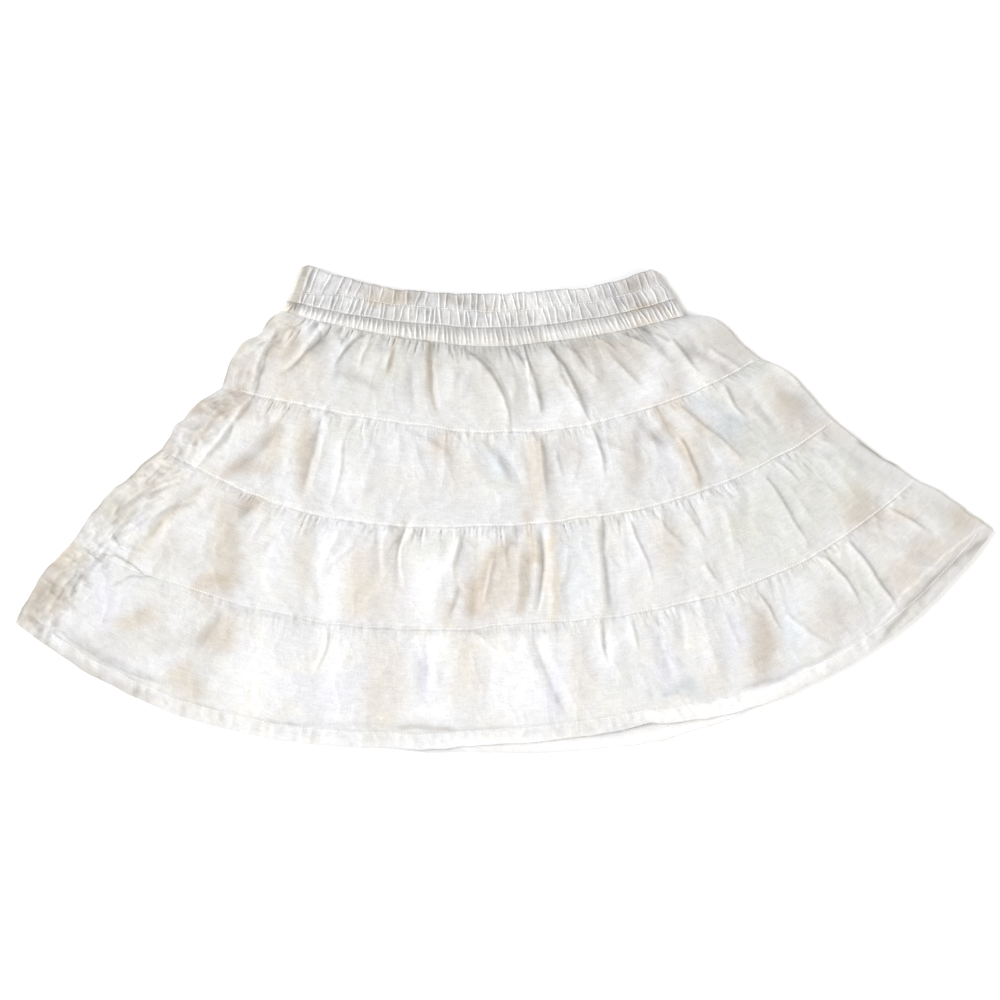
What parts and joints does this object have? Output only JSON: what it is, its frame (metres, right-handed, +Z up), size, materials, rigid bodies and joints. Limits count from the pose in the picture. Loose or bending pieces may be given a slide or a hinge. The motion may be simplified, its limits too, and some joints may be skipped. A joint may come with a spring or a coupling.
{
  "type": "tiered skort",
  "caption": "Flat-laid short tiered skirt of a pull-on skort: gathered white linen under a shirred elastic waistband, with a turned-up hem.",
  "frame": {"origin": "on the surface that the garment lies on, under the middle of its outline", "axes": "+X along the width, from the side whose seam shows on top to the other; +Y towards the waistband; +Z up, out of the garment's front"},
  "size_m": [0.8798, 0.4395, 0.0139],
  "materials": {
    "tier_linen": "washed matte linen, warm white, slightly slubby",
    "casing_linen": "the same linen, gathered over elastic and stitched in rows"
  },
  "bodies": {
    "root": {"waistband_front": "casing_linen", "waistband_back": "casing_linen", "shirring_front": "casing_linen", "shirring_back": "casing_linen", "tier_1_front": "tier_linen", "tier_1_back": "tier_linen", "tier_2_front": "tier_linen", "tier_2_back": "tier_linen", "tier_3_front": "tier_linen", "tier_3_back": "tier_linen", "tier_4_front": "tier_linen", "tier_4_back": "tier_linen"}
  },
  "joints": []
}
